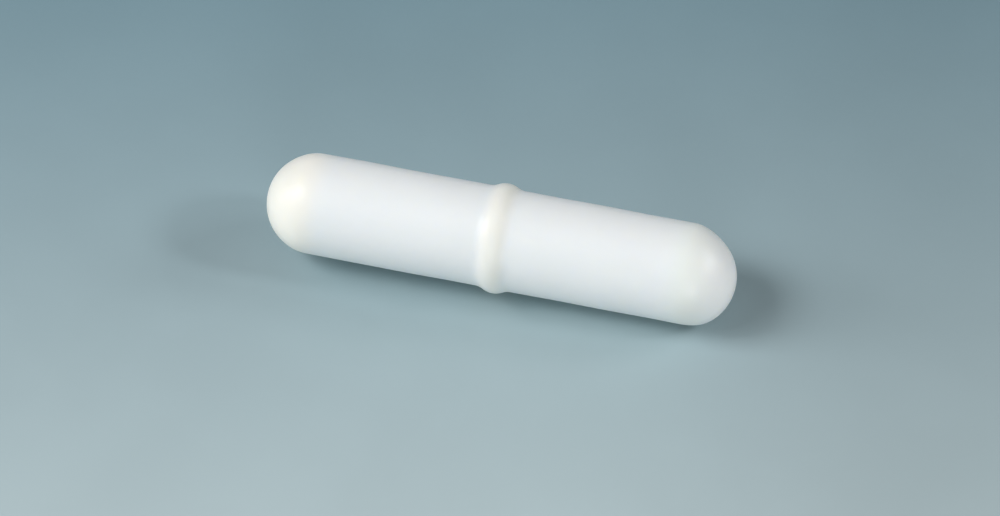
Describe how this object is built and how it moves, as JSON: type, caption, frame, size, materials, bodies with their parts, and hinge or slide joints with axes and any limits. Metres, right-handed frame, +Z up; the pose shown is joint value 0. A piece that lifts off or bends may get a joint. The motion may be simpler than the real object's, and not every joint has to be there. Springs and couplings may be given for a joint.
{
  "type": "magnetic stir bar",
  "caption": "White PTFE-coated magnetic stir bar with round ends and a low pivot ring round its middle; a rod magnet is sealed inside.",
  "frame": {"origin": "middle of the bar: on its axis, in the middle plane of the pivot ring", "axes": "+X along the bar's axis, +Y across it, +Z up as the bar lies"},
  "size_m": [0.038, 0.0088, 0.0088],
  "materials": {
    "ptfe": "satin",
    "magnet_alloy": "matte"
  },
  "bodies": {
    "root": {"ptfe_jacket": "ptfe", "magnet": "magnet_alloy"}
  },
  "joints": []
}
